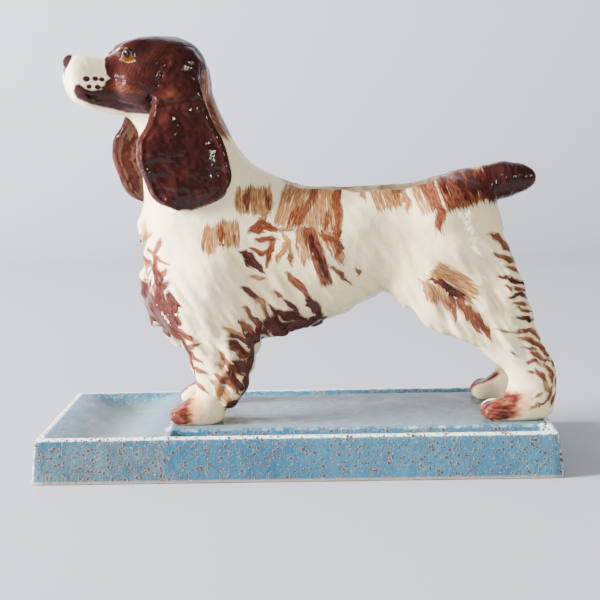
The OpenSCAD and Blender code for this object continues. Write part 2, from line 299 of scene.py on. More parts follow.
# (x, z) along the flank and legs
FLANK_MARKS = [
    # shoulder
    (LIGHT, 8, (-18.5, 136.4), (-18.5, 124.8)), (LIGHT, 1.8, (-11, 128), (-14.5, 121), (-19.5, 117)),
    (LIGHT, 3.4, (-39.6, 118.5), (-40.5, 107)), (LIGHT, 5.8, (-31.8, 121), (-31.5, 110)),
    (MIDDLE, 1.4, (-34, 119), (-34.4, 110)), (MIDDLE, 1, (-27.6, 116), (-27, 113.5)),
    (MIDDLE, 1.2, (-22, 135), (-22.4, 127)), (MIDDLE, 1, (-12, 134), (-11.6, 127)),
    (MIDDLE, 2, (-20, 117), (-14, 119), (-9, 117.4)),
    # ribs
    (LIGHT, 6.8, (4.5, 139), (-3, 118)), (MIDDLE, 2.2, (13.4, 139), (6, 125.5), (2, 118)),
    (LIGHT, 4.6, (11, 138), (11, 118)), (LIGHT, 4.2, (18, 138), (18.5, 114)),
    (MIDDLE, 2.3, (22.2, 139), (22, 124), (20.8, 110.5)), (MIDDLE, 1.3, (17, 126), (15.4, 116)),
    (LIGHT, 1.2, (-4.2, 114.5), (-2.3, 109.7), (-0.6, 103.4)), (MIDDLE, 1.3, (3, 128), (-2, 118.6)),
    (LIGHT, 0.9, (-9, 117.4), (2, 116.7)), (MIDDLE, 1.3, (13, 114), (17, 112), (21.5, 112)),
    (MIDDLE, 1.5, (-17, 112.8), (-8.6, 112)), (MIDDLE, 1.5, (-10, 112), (-12.6, 101.5)),
    (MIDDLE, 1, (-20, 107.7), (-12, 106)), (DARK, 2.2, (-23.7, 106.6), (-15, 98)),
    (LIGHT, 1.1, (-19.3, 94.6), (-14.5, 93.5)), (LIGHT, 1.6, (-3.2, 111), (-7.5, 102)),
    (MIDDLE, 1.2, (-1.8, 104), (-1.2, 101)), (LIGHT, 2.6, (3.5, 117), (5, 101)),
    (LIGHT, 4.6, (7.5, 118), (10, 103)), (LIGHT, 3, (16, 116), (20.2, 109), (22.5, 101)),
    (MIDDLE, 3.2, (7, 117), (11, 106), (16.4, 89.5)), (DARK, 1.7, (8.8, 113), (11.6, 105), (14.8, 95)),
    (MIDDLE, 1.3, (20, 113), (23, 108), (21, 104)), (MIDDLE, 0.9, (19, 97.6), (27, 91)),
    (MIDDLE, 0.9, (31, 97), (32.4, 95.6), (31.4, 94.4)),
    # belly
    (MIDDLE, 1.7, (-1.9, 95), (7.8, 83)), (DARK, 1.4, (-22.8, 89), (-19, 85)),
    (LIGHT, 1.8, (-19.8, 86), (-15.2, 81), (-14.9, 76)), (MIDDLE, 1, (-8.5, 86.6), (-6.6, 85)),
    (MIDDLE, 1.4, (-14, 76.5), (-13.4, 62)), (DARK, 4.2, (-13, 73), (-7.7, 66), (7, 67.5), (15, 71.5)),
    (DARK, 2.6, (-7.5, 76.6), (5.2, 70)), (DARK, 1, (-11, 79), (-7.4, 71.6)),
    (DARK, 1.2, (-4.4, 82.6), (1.8, 75)), (DARK, 2.5, (7.4, 82.8), (12.7, 72.6)),
    # back and rump
    (LIGHT, 0.9, (33, 135), (35.4, 130)), (LIGHT, 6.2, (43, 140), (47, 126)),
    (MIDDLE, 2.6, (50, 140), (50.5, 132)), (LIGHT, 1.4, (53, 135), (56, 125)),
    (LIGHT, 5.4, (61.5, 141), (67, 124.5)), (MIDDLE, 2, (62, 141), (65, 131)),
    (MIDDLE, 2, (67, 141), (69.5, 128)), (MIDDLE, 2.3, (66, 134), (71, 124), (70.6, 115.5)),
    (MIDDLE, 5.4, (73.5, 144), (79.6, 125.4)), (DARK, 1.6, (71.5, 143), (75.5, 131)),
    (MIDDLE, 5, (81, 144), (86.4, 126.5)), (DARK, 1.8, (80, 143), (84, 130)),
    (DARK, 2.6, (86, 144), (89.5, 130.5)), (MIDDLE, 4.5, (89.5, 143), (92.5, 128.5)),
    (DARK, 3.2, (93, 142), (96, 130)), (DARK, 3.4, (98, 142), (98.5, 127)),
    # thigh
    (LIGHT, 4.8, (68, 96), (87, 84)), (DARK, 2, (67.5, 92.2), (81, 83.5)),
    (LIGHT, 2.8, (63.7, 89.5), (67.6, 80.5)), (LIGHT, 2.6, (70, 88.5), (74.2, 78)),
    (MIDDLE, 1.5, (76, 86), (77, 72.5)), (MIDDLE, 2.3, (79.5, 84), (83.8, 71.5)),
    (MIDDLE, 2.3, (84, 78.5), (88.6, 66)), (MIDDLE, 2.1, (88.2, 74.5), (93.5, 62.5)),
    # rear edge of the hind leg
    (MIDDLE, 1.5, (97.2, 111.8), (103.8, 104.4)), (MIDDLE, 0.9, (102, 108.4), (106, 102.6)),
    (MIDDLE, 1.2, (98.5, 103), (105.3, 99.2), (108.4, 97.6)), (MIDDLE, 0.8, (104.4, 96.8), (109, 94)),
    (DARK, 1.1, (100.4, 92), (108.8, 89.2), (113, 87.6)), (MIDDLE, 1, (103.6, 87.6), (113.4, 84)),
    (DARK, 1, (105, 83.3), (109.4, 83.3), (114.4, 79.2)), (MIDDLE, 0.8, (107, 79.6), (112, 77.8)),
    (MIDDLE, 0.8, (109, 76.4), (115.6, 73.6)), (DARK, 1.1, (108.6, 72), (116.6, 69.6)),
    (LIGHT, 0.6, (97.5, 66.6), (106.5, 65)), (MIDDLE, 1.2, (108.6, 65.8), (115, 65.4), (119, 61.4)),
    (LIGHT, 1.2, (109.6, 63), (116, 60.4)), (MIDDLE, 1.2, (111.6, 61.6), (118, 58.4), (122, 53.6)),
    (MIDDLE, 0.8, (112, 57.6), (115.4, 56)), (MIDDLE, 1, (114.5, 54.6), (123, 50.4)),
    (MIDDLE, 0.8, (112.8, 50), (116, 51.4), (118.4, 49)), (MIDDLE, 0.7, (114.2, 45.9), (117, 44.6)),
    (MIDDLE, 0.9, (117.8, 45.8), (120.5, 42)), (LIGHT, 1.2, (119.6, 49.4), (123, 46), (123.4, 42)),
    (MIDDLE, 0.7, (122, 48.4), (124.4, 44), (124.4, 40)), (LIGHT, 1.1, (120.6, 41), (122, 36.4)),
    (MIDDLE, 0.8, (123.6, 37.6), (122, 32.4), (118.4, 29.6)), (LIGHT, 0.8, (115, 29.2), (118.2, 30)),
    (MIDDLE, 0.6, (115.8, 33), (118.6, 34.6)), (MIDDLE, 0.8, (125, 52), (126.4, 46)),
    (MIDDLE, 0.8, (127, 43), (126.6, 37.6)), (MIDDLE, 0.8, (126, 34.6), (123.4, 30.4)),
    (DARK, 0.55, (105.8, 55.2), (106.2, 54.7)),
    # front edge of the foreleg
    (MIDDLE, 1.8, (-56.5, 68.5), (-49.6, 63.8)), (MIDDLE, 1.5, (-53.5, 59.3), (-47.6, 61.4)),
    (MIDDLE, 1.5, (-53, 57.2), (-46.6, 53)), (MIDDLE, 1.1, (-49.5, 49.2), (-45.6, 47.8)),
    (MIDDLE, 1, (-48.5, 42.6), (-44, 38.4)), (DARK, 1.2, (-57, 66), (-53, 56.7), (-49.8, 45)),
    # feather behind the foreleg
    (MIDDLE, 1.9, (-23.4, 78.2), (-17.5, 70), (-18, 60)), (DARK, 1.2, (-31, 65.7), (-20, 60.5)),
    (DARK, 1.1, (-31.6, 63.2), (-26.3, 58.3)), (MIDDLE, 2.6, (-25, 72), (-20.5, 63)),
    (MIDDLE, 2.2, (-29, 60), (-22, 54)), (MIDDLE, 1.8, (-33.5, 54), (-26.5, 46.5)),
    (LIGHT, 1.6, (-33, 69), (-25, 63)), (LIGHT, 1.5, (-37, 52), (-33, 45), (-28.5, 38)),
    (DARK, 3.3, (-17.8, 68), (-17.5, 61), (-20.5, 54), (-21.6, 47), (-22, 42)),
    (DARK, 2.4, (-24, 66), (-19.5, 57)), (DARK, 1.8, (-32, 47), (-26, 39)),
    (DARK, 2.6, (-28, 54), (-22.5, 46)), (MIDDLE, 1.8, (-35.2, 57.8), (-31.3, 49), (-29, 41.5)),
    (MIDDLE, 1.6, (-38.6, 47.2), (-30.5, 40.5)), (LIGHT, 2.8, (-38.8, 42.6), (-32, 31)),
    (DARK, 2.6, (-23.6, 46), (-23.6, 38), (-27.5, 32.6), (-34, 31))]
# (distance from the midline, z) across the chest
CHEST_MARKS = [
    (LIGHT, 1.5, (5, 112.4), (17, 115)), (DARK, 1.5, (3, 110), (9, 109.4)),
    (MIDDLE, 1.7, (24, 110.5), (19, 105.7), (22, 99)), (LIGHT, 1.7, (13, 100), (6, 87)),
    (DARK, 0.9, (20.6, 100.5), (22, 92.5)), (DARK, 1.6, (27, 91.4), (21.5, 81)),
    (DARK, 3.4, (0, 92), (1, 84), (3, 74), (4, 62)),
    (DARK, 2.8, (4, 91), (7, 84), (10, 75), (13, 66)), (DARK, 3.2, (14, 69), (22, 66), (27, 64)),
    (DARK, 2.8, (27, 81), (25.4, 68)), (MIDDLE, 2.2, (8, 97), (14, 88)),
    (DARK, 3, (7, 70), (14, 63)), (DARK, 3.8, (11, 82), (15, 73), (21, 67)),
    (DARK, 3.2, (4, 72), (12, 66), (21, 62.5)), (DARK, 1.3, (14, 94), (8.5, 84)),
    (MIDDLE, 1.5, (26, 97), (20, 88)), (MIDDLE, 1.2, (15, 107.4), (25, 102)),
    (MIDDLE, 1.8, (13, 102), (23, 95.5)), (MIDDLE, 1.7, (20.4, 99.6), (24, 93), (23, 87)),
    (DARK, 2.2, (25.4, 90), (24.6, 83), (25, 76)), (DARK, 2.6, (6, 86), (20, 84), (14, 76)),
    (DARK, 2.6, (17, 78), (20, 74), (23, 69), (24, 64)), (LIGHT, 1.6, (10, 105), (17, 96)),
    (DARK, 1.7, (18, 91), (13, 80)), (DARK, 3.4, (19, 84), (21, 72)),
    (DARK, 1.6, (28, 86), (28.6, 76)), (DARK, 1.2, (23.5, 96), (26, 88)),
    (MIDDLE, 1.1, (9, 112), (12, 100)), (MIDDLE, 1.6, (16, 97), (12, 88))]
# (forward, z) on the side of the head
CAP = [(20, 222), (34, 212), (38.5, 206), (41.8, 202.2), (43.3, 200), (43.9, 196.4), (43.3, 192.3),
       (41, 190), (34.6, 187.5), (30, 186), (26.5, 183.5), (24, 179), (21, 173), (10, 168), (2, 163),
       (-14, 161), (-40, 160), (-40, 222)]
LIP = [(56.6, 188.6), (58.6, 187.8), (59.2, 184.6), (57.6, 181.5), (50.8, 178.4), (40.8, 176.4),
       (33.5, 174.3), (24, 173.2), (18, 174), (20, 184), (26.5, 188), (34.6, 191), (41, 191.6),
       (44.4, 189.2), (45.6, 185.6), (51, 185), (54, 186)]
MOUTH = [(56, 184.2), (49.4, 181.1), (38.5, 179.1), (31.8, 177), (26, 177)]
EYE = [(36.7, 199.6), (35.8, 202.7), (34, 205.2), (32, 202.7), (30.2, 198.6), (33.4, 197.9)]
PUPIL = (33.9, 202.2)
# lines along which painted shade darkens the crease behind the eye and the groove in front of the ear
EYE_CREASE_SHADE = [(30, 197.6), (22, 196.8)]
EAR_GROOVE_SHADE = [(15.6, 199), (20, 188), (25, 179)]
# (forward, z, radius)
WHISKER_DOTS = [(53.1, 190.6, 1.4), (48.9, 190.6, 1.2), (45.8, 190.2, 1.1), (42.2, 189.2, 1.1),
                (52.1, 186.9, 1.1), (48.1, 186.6, 1.2), (45.3, 186.2, 0.9)]


# ---- the dog's field ----


def barrel_field(block):
    """The body from the breast to the rump."""
    low, high, half = curve(block.x, BARREL)
    section = oval(block.y, block.z - (low + high) / 2, half, (high - low) / 2, 2.3)
    return closed(section, past(block.x, BARREL[0][0], BARREL[-1][0]))


def upright_field(block, rows, side, power):
    """A solid built from level sections, such as the neck or a leg on one side."""
    front, back, half, *away = curve(block.z, rows)
    centre = side * away[0] if away else 0
    section = oval(block.x - (front + back) / 2, block.y - centre, (back - front) / 2, half, power)
    return closed(section, past(block.z, rows[0][0], rows[-1][0]))


def head_places(x, y):
    """How far forward of the pivot, and to the dog's right, a place is in the turned head."""
    dx = x - HEAD_PIVOT_X
    c, s = math.cos(HEAD_TURN), math.sin(HEAD_TURN)
    return -(c * dx + s * y), c * y - s * dx


def head_point(forward, right, z):
    """The place in the dog's frame of a place in the turned head's."""
    c, s = math.cos(HEAD_TURN), math.sin(HEAD_TURN)
    return (HEAD_PIVOT_X - c * forward - s * right, c * right - s * forward, z)


def skull_field(block):
    forward, right = head_places(block.x, block.y)
    low, high, half = curve(forward, SKULL)
    section = oval(right, block.z - (low + high) / 2, half, (high - low) / 2, 2.5)
    return closed(section, past(forward, SKULL[0][0], SKULL[-1][0]))


def add_locks(block, field, locks, side, k, flat=1.0):
    for points, radii in locks:
        add_lock(block, field, [(x, side * y, z) for x, y, z in points], radii, k, flat)


def add_toes(block, field, tip_x, side_y, spread):
    """Four rounded toes across the front of a paw."""
    for i in range(4):
        across = (i - 1.5) * spread
        back = 0.45 * abs(i - 1.5) ** 2
        centre = (tip_x + 6.2 + back, side_y + across, PAD_Z + 4)
        add_ball(block, field, centre, (6.6, spread * 0.62, 4.4), 0.9)


def add_face(block, field):
    """Brows, cheeks, lips, eyes and nose, with grooves at the mouth and in front of the ears."""

    def ball(place, size, k):
        add_ball(block, field, head_point(*place), size, k, HEAD_TURN)

    for side in (-1, 1):
        ball((28.5, side * 9.5, 204.6), (7.5, 5, 4.5), 4)            # brow
        ball((24, side * 14, 187), (12, 6, 10), 8)                   # cheek
        ball((47, side * 8.2, 185), (11, 4.2, 6), 4)                 # lip
        ball((55, side * 5.6, 190), (5.5, 4, 6.5), 4)                # side of the muzzle
        ball((35.5, side * 16.6, 201.5), (4.6, 3.2, 3.9), -2.5)      # eye socket
        ball((34.6, side * 12.6, 201.8), (3.9, 3.0, 3.4), 0.5)       # eyeball
        for line, radius in ((LIP_LINE, 0.7), (EAR_LINE, 1.3)):
            carve_line(block, field, [head_point(u, side * v, z) for u, v, z in line], radius)
        ball((61.8, side * 2.5, 198.6), (1.6, 0.9, 1.0), -0.6)       # nostril
    ball((58.7, 0, 198.9), (3.4, 4.6, 3.7), 1.0)                     # nose


def carve_line(block, field, points, radius):
    """A soft groove along a line on the surface."""
    groove = np.full(block.shape, 99, np.float32)
    add_lock(block, groove, points, [radius] * len(points), 0.2)
    np.copyto(field, smooth_cut(field, groove, 0.8))


def coat(block, field):
    """Wavy modelled hair, strongest low on the body and legs, over soft lumps and hollows."""
    near = np.abs(field) < 4 * block.step
    i, j, k = np.nonzero(near)
    x, y, z = block.x[i, 0, 0], block.y[0, j, 0], block.z[0, 0, k]
    low = np.clip((118 - z) / 50, 0, 1)
    above_paws = np.clip((z - 40) / 20, 0, 1)
    along = (x * 0.55 - z * 0.83)
    across = (x * 0.83 + z * 0.55)
    wave = noise(across / 3.4, y / 5, along / 13, 3) + 0.5 * noise(across / 1.8, y / 3, along / 8, 5)
    lumps = noise(x / 11, y / 11, z / 11, 7)
    hollows = noise(x / 16, y / 16, z / 13, 9)
    below_head = np.clip((158 - z) / 12, 0.25, 1)
    field[i, j, k] -= ((0.14 + 0.85 * low * above_paws) * wave
                       + (0.4 * lumps + 0.6 * hollows * below_head) * above_paws)


def dog_field(block):
    """The whole dog in one skin, without its ears and hollow."""
    field = smooth_union(barrel_field(block), upright_field(block, CHEST, 0, 2.1), 12)
    for side in (-1, 1):
        add_locks(block, field, MUSCLES, side, 10)
    field = smooth_union(field, skull_field(block), 8)
    for side in (-1, 1):
        field = smooth_union(field, upright_field(block, FORELEG, side, 2.2), 7)
        field = smooth_union(field, upright_field(block, HIND_LEG, side, 2.2), 7)
        add_locks(block, field, LEG_FEATHER, side, 1.8, 0.9)
        for locks in (CHEST_TUFTS, BELLY_TUFTS, HIND_FEATHER):
            add_locks(block, field, locks, side, 2.2)
        add_toes(block, field, FORE_TOE_X, side * FORE_STANCE, 4.4)
        add_toes(block, field, HIND_TOE_X, side * HIND_STANCE, 4.6)
    add_lock(block, field, *TAIL, 6)
    add_face(block, field)
    coat(block, field)
    return np.maximum(field, PAD_Z - block.z)


def ear_field(block, side):
    """One hanging ear, with its lumpy waves."""
    (x0, y0), turn = EAR_PLACES[side]
    front, back, out = curve(block.z, EAR)
    c, s = math.cos(turn), math.sin(turn)
    u = c * (block.x - x0) + s * (block.y - y0)
    v = c * (block.y - y0) - s * (block.x - x0)
    thick = 3.6 + 1.2 * np.clip((block.z - 185) / 12, 0, 1)
    slab = oval(u - (front + back) / 2, v - side * out, (back - front) / 2, thick, 2.5)
    slab = closed(slab, past(block.z, EAR[0][0], EAR[-1][0]))
    low = np.clip((188 - block.z) / 25, 0, 1)
    lumps = noise(u / 8, v / 9, block.z / 10, 11) + 0.35 * noise(u / 4, v / 5, block.z / 5.5, 13)
    bead = 0.7 * np.clip(1 - np.abs(slab_edge(u, front, back) - 2.2) / 2.2, 0, 1)
    fold = 0.9 * np.exp(-((block.z - 178.5 - 0.12 * u) / 1.5) ** 2) * np.clip(2 - np.abs(u) / 6, 0, 1)
    slab = slab + np.broadcast_to(fold, slab.shape)
    return slab - (0.6 * lumps + bead) * low * np.clip(slab_edge(u, front, back) / 2.5, 0, 1)


def slab_edge(u, front, back):
    """How far inside an ear's outline a place is."""
    return np.minimum(u - front, back - u)


# ---- from a field to a mesh ----


def sample(grid, block, points):
    """The grid's values at the points, by straight blending of the eight nearest samples."""
    place = (points - block.low) / block.step
    top = np.array(block.shape) - 1.001
    place = np.clip(place, 0, top)
    cell = place.astype(np.int64)
    part = place - cell
    total = 0
    for corner in range(8):
        bits = np.array([(corner >> axis) & 1 for axis in range(3)])
        i, j, k = (cell + bits).T
        weight = np.prod(np.where(bits, part, 1 - part), axis=1)
        total = total + grid[i, j, k] * weight
    return total


def settle(points, grid, slopes, block):
    """Move points along the slope on to the grid's zero surface."""
    value = sample(grid, block, points)
    slope = np.stack([sample(s, block, points) for s in slopes], axis=1)
    size = np.maximum((slope ** 2).sum(1), 1e-3)
    move = -(value / size)[:, None] * slope
    length = np.maximum(np.linalg.norm(move, axis=1), 1e-9)
    return points + move * np.minimum(1, 0.8 * block.step / length)[:, None]


def crossings(field):
    """For each axis, the edges that the surface crosses, and where along them."""
    for axis in range(3):
        a = np.moveaxis(field, axis, 0)[:-1]
        b = np.moveaxis(field, axis, 0)[1:]
        hit = (a < 0) != (b < 0)
        place = np.argwhere(hit)
        va, vb = a[hit], b[hit]
        t = va / (va - vb)
        order = [0, 1, 2]
        order.remove(axis)
        full = np.empty_like(place)
        full[:, axis] = place[:, 0]
        full[:, order[0]] = place[:, 1]
        full[:, order[1]] = place[:, 2]
        yield axis, full, t, va < 0


def cells_round(place, axis):
    """The four cells round each crossed edge, in turning order."""
    p, q = [a for a in range(3) if a != axis]
    if axis == 1:
        p, q = q, p
    ring = []
    for dp, dq in ((0, 0), (-1, 0), (-1, -1), (0, -1)):
        cell = place.copy()
        cell[:, p] += dp
        cell[:, q] += dq
        ring.append(cell)
    return ring


def surface_net(field, block):
    """A quad mesh of the zero surface: a vertex in each crossed cell, a face round each crossed edge."""
    shape = np.array(field.shape) - 1
    total = np.zeros((int(np.prod(shape)), 4), np.float32)
    strides = np.array([shape[1] * shape[2], shape[2], 1])
    rings = []
    for axis, place, t, leaving in crossings(field):
        point = place.astype(np.float32)
        point[:, axis] += t
        ring = cells_round(place, axis)
        inside = np.all([((c >= 0) & (c < shape)).all(1) for c in ring], axis=0)
        ids = [(c[inside] * strides).sum(1) for c in ring]
        for cell_id in ids:
            for k in range(3):
                total[:, k] += np.bincount(cell_id, point[inside, k], len(total))
            total[:, 3] += np.bincount(cell_id, minlength=len(total))
        quad = np.stack(ids, axis=1)
        flip = leaving[inside]
        quad[~flip] = quad[~flip][:, ::-1]
        rings.append(quad)
    quads = np.concatenate(rings)
    used = np.unique(quads)
    number = np.zeros(len(total), np.int64)
    number[used] = np.arange(len(used))
    points = total[used, :3] / total[used, 3:4]
    return points * block.step + block.low, number[quads]


def skin_mesh(full, region, block):
    """The part of a solid that lies in a region: crisp at the joint, with the solid's own normals.
    Returns points, faces, and a normal for every face corner."""
    body = np.maximum(full, region)
    slopes, cuts = np.gradient(full, block.step), np.gradient(region, block.step)
    points, faces = surface_net(body, block)
    near = 0.8 * block.step
    a, b = sample(full, block, points), sample(region, block, points)
    seam = (np.abs(a) < near) & (np.abs(b) < near)
    outer = ~seam & (a > b)
    for _ in range(2):
        points[outer] = settle(points[outer], full, slopes, block)
        points[~seam & ~outer] = settle(points[~seam & ~outer], region, cuts, block)
    for _ in range(6):
        points[seam] = settle(points[seam], full, slopes, block)
        points[seam] = settle(points[seam], region, cuts, block)
    normal = np.stack([sample(s, block, points) for s in slopes], axis=1)
    normal /= np.maximum(np.linalg.norm(normal, axis=1, keepdims=True), 1e-6)
    corner = points[faces]
    flat = np.cross(corner[:, 2] - corner[:, 0], corner[:, 3] - corner[:, 1])
    flat /= np.maximum(np.linalg.norm(flat, axis=1, keepdims=True), 1e-9)
    middle = corner.mean(1)
    cap = np.abs(sample(region, block, middle)) < np.abs(sample(full, block, middle))
    corner_normal = np.where(cap[:, None, None], flat[:, None, :], normal[faces])
    return points, faces, corner_normal


def link_object(name, data):
    """An object made from some data, put in the scene."""
    made = bpy.data.objects.new(name, data)
    bpy.context.scene.collection.objects.link(made)
    return made


def make_object(name, points, faces, corner_normal):
    """An object from points in millimetres, quads, and a normal for every face corner."""
    mesh = bpy.data.meshes.new(name)
    mesh.vertices.add(len(points))
    mesh.vertices.foreach_set("co", (points * MM).astype(np.float32).ravel())
    mesh.loops.add(faces.size)
    mesh.loops.foreach_set("vertex_index", faces.astype(np.int32).ravel())
    mesh.polygons.add(len(faces))
    mesh.polygons.foreach_set("loop_start", np.arange(0, faces.size, 4, dtype=np.int32))
    mesh.update(calc_edges=True)
    mesh.shade_smooth()
    mesh.normals_split_custom_set(corner_normal.reshape(-1, 3).tolist())
    return link_object(name, mesh)


def add_value(piece, name, values):
    """Store one number per vertex, for the materials to read."""
    layer = piece.data.attributes.new(name, "FLOAT", "POINT")
    layer.data.foreach_set("value", np.asarray(values, np.float32))


# ---- laying the paint on a piece: how far inside each mark a vertex lies, in millimetres ----


def brush_mark(p, q, half, line):
    """How far inside the mark a place is, and its places across and along the brush."""
    best, across, along, start = None, None, None, 0.0
    length = sum(math.dist(a, b) for a, b in zip(line[:-1], line[1:]))
    for a, b in zip(line[:-1], line[1:]):
        size = math.dist(a, b)
        dx, dz = (b[0] - a[0]) / size, (b[1] - a[1]) / size
        t = (p - a[0]) * dx + (q - a[1]) * dz
        low = -99 if start == 0 else 0
        high = 99 if start + size > length - 0.01 else size
        side = (p - a[0]) * dz - (q - a[1]) * dx
        over = np.abs(t - np.clip(t, low, high))
        far = np.hypot(side, over)
        if best is None:
            best, across, along = far, side, start + t
        else:
            nearer = far < best
            best, across = np.where(nearer, far, best), np.where(nearer, side, across)
            along = np.where(nearer, start + t, along)
        start += size
    middle = np.clip(along / length, 0, 1) * 2 - 1
    taper = 0.15 if half > BROAD else 0.55
    inside = np.minimum(2.5 * (half * (1.12 - taper * middle ** 2) - best),
                        np.minimum(along, length - along) + (0.6 if half > BROAD else 1.2))
    return inside, across, along


def polygon_inside(p, q, corners):
    """How far inside a polygon a place is; negative outside."""
    best = np.full(p.shape, 1e9)
    odd = np.zeros(p.shape, bool)
    for (ax, az), (bx, bz) in zip(corners, corners[1:] + corners[:1]):
        ex, ez = bx - ax, bz - az
        t = np.clip(((p - ax) * ex + (q - az) * ez) / (ex * ex + ez * ez), 0, 1)
        best = np.minimum(best, np.hypot(p - ax - t * ex, q - az - t * ez))
        if az != bz:
            odd ^= ((az > q) != (bz > q)) & (p < ex * (q - az) / ez + ax)
    return np.where(odd, best, -best)


class Paint:
    """The paint's coverage at every vertex of a piece."""

    def __init__(self, points, normals):
        self.x, self.y, self.z = points.T.astype(np.float64)
        self.nx, self.ny, self.nz = normals.T
        self.cover = {c: np.full(len(points), -FULL) for c in (LIGHT, MIDDLE, DARK)}
        self.across = self.x * 0.8 + self.y
        self.along = self.z.copy()
        self.best = np.full(len(points), -FULL)

    def lay(self, colour, inside, allowed, across=None, along=None):
        """Cover the allowed places; the deepest mark says which way the brush went."""
        inside = np.where(allowed, np.clip(inside, -FULL, FULL), -FULL)
        self.cover[colour] = np.maximum(self.cover[colour], inside)
        if across is not None:
            wins = inside > self.best
            self.best = np.where(wins, inside, self.best)
            self.across = np.where(wins, across, self.across)
            self.along = np.where(wins, along, self.along)

    def stroke(self, colour, p, q, half, line, allowed):
        inside, across, along = brush_mark(p, q, half, line)
        self.lay(colour, inside, allowed, across, along)

    def marks(self):
        """All the brush marks on the body and legs; the right side's are a looser copy."""
        for side in (-1, 1):
            loose = side > 0
            p = self.x + (RIGHT_SHIFT if loose else 0)
            q = self.z + (RIGHT_SWAY * np.sin(self.x / 14) if loose else 0)
            bent_p, bent_q = p + self.waver(side, 31), q + self.waver(side, 33)
            outer = (side * self.y > -4) & (side * self.ny > -0.3)
            outer &= (self.x < 94) | (self.z > 118) | (side * self.y > 13)
            for colour, half, *line in FLANK_MARKS:
                places = (p, q) if half > BROAD else (bent_p, bent_q)
                self.stroke(colour, *places, half, line, outer)
            front = (self.nx < -0.25) & (self.x < -45) & (side * self.y > -2)
            for colour, half, *line in CHEST_MARKS:
                self.stroke(colour, side * self.y, bent_q, half, line, front)

    def waver(self, side, seed):
        """How a small mark's edge wanders."""
        return (noise(self.x / 4, side * 3, self.z / 4, seed)
                + 0.5 * noise(self.x / 1.8, side * 3, self.z / 1.8, seed + 1))

    def slot_rim(self):
        """The thin line round the opening in the back."""
        edge = np.abs(slot_distance(self.x, self.y) - 1.2)
        self.lay(LIGHT, 1.6 - 2.2 * edge, self.z > 132, self.y * 0.4, self.x)

    def paws(self):
        """Maroon toes that fade through orange to cream."""
        rear = self.x > 30
        tip = np.where(rear, HIND_TOE_X, FORE_TOE_X)
        stance = np.where(rear, HIND_STANCE, FORE_STANCE)
        height = self.z - PAD_Z
        back = (self.x - tip) - 0.55 * height * np.where(rear, 0.4, 0.2)
        outward = np.sign(self.y) * self.y - stance
        fade = np.clip((back - np.where(rear, 13, 8)) / 13, 0, 1)
        high = np.clip((self.z - PAD_Z - 12.5) / 5, 0, 1)
        inner = np.clip((-outward - 3.0 + 0.2 * (PAD_Z + 6 - self.z)) / 2.5, 0, 1)
        low = np.clip((PAD_Z + 1.4 + 0.14 * np.maximum(back - 8, 0) - self.z) / 1.5, 0, 1)
        low = low * np.clip((back - 4) / 5, 0, 1)
        return (1 - fade) * (1 - high) * (1 - inner) * (1 - low)


def paint_body(piece, points, normals):
    """Marks for the body and legs, and the toes' colour on whatever reaches down to them."""
    paint = Paint(points, normals)
    paint.marks()
    paint.slot_rim()
    has_paw = points[:, 2].min() < PAW_TOP
    store_paint(piece, paint, paw=paint.paws() if has_paw else np.zeros(len(points)))


def store_paint(piece, paint, **more):
    """Store the paint's coverage and the brush's direction, and more values by name."""
    for name, values in {**paint.cover, "across": paint.across, "along": paint.along, **more}.items():
        add_value(piece, name, values)


def paint_tail(piece, points, normals):
    """Dark all over."""
    paint = Paint(points, normals)
    paint.lay(DARK, np.full(len(points), FULL), True, paint.x + 0.3 * paint.z, paint.y)
    store_paint(piece, paint, paw=np.zeros(len(points)))


def paint_head(piece, points, normals):
    """The dark cap with a pale blaze and a tan nape, and the lips and mouth."""
    paint = Paint(points, normals)
    u, v = head_places(points[:, 0], points[:, 1])
    z = paint.z
    blaze = 2.4 * np.clip((u - 24) / 10, 0, 1) + 0.5 * np.clip(u - 38, 0, 9)     # its half width
    cap = np.minimum(polygon_inside(u, z, CAP), np.abs(v) - blaze + 9 * (u < 24))
    nape = np.minimum(2 - u, 0.6 * (197 - z))          # how far behind the skull and down the neck
    hair = (v + 0.5 * u, z)
    paint.lay(DARK, np.minimum(cap, 1.5 - nape), True, *hair)
    fray = 2.4 * noise(v / 1.4, u / 4, z / 12, 41)
    paint.lay(LIGHT, np.minimum(cap + fray, nape + 1), True, *hair)
    paint.lay(MIDDLE, np.minimum(cap + fray - 2, np.minimum(nape + 1, 0.15 + 0.5 * fray)), True, *hair)
    lip = polygon_inside(u, z, LIP)
    paint.lay(MIDDLE, 2 * lip, np.abs(v) > 4, z * 0.8 + u * 0.3, u)
    deep = np.minimum(2 * lip - 0.6, 1.6 * (184.6 + 0.18 * (u - 40) - z))
    paint.lay(DARK, np.minimum(deep, 1.0), np.abs(v) > 4, z * 0.8 + u * 0.3, u)
    paint.stroke(DARK, u, z, 1.5, MOUTH, np.abs(v) > 5)
    under = np.minimum(lip, 1.6 - np.abs(z - 176.8 + 0.1 * (u - 40)))
    paint.lay(DARK, under * np.where(u < 47, 1.5, 0.5), np.abs(v) > 5)
    store_paint(piece, paint)
    mark_face(piece, u, v, z)


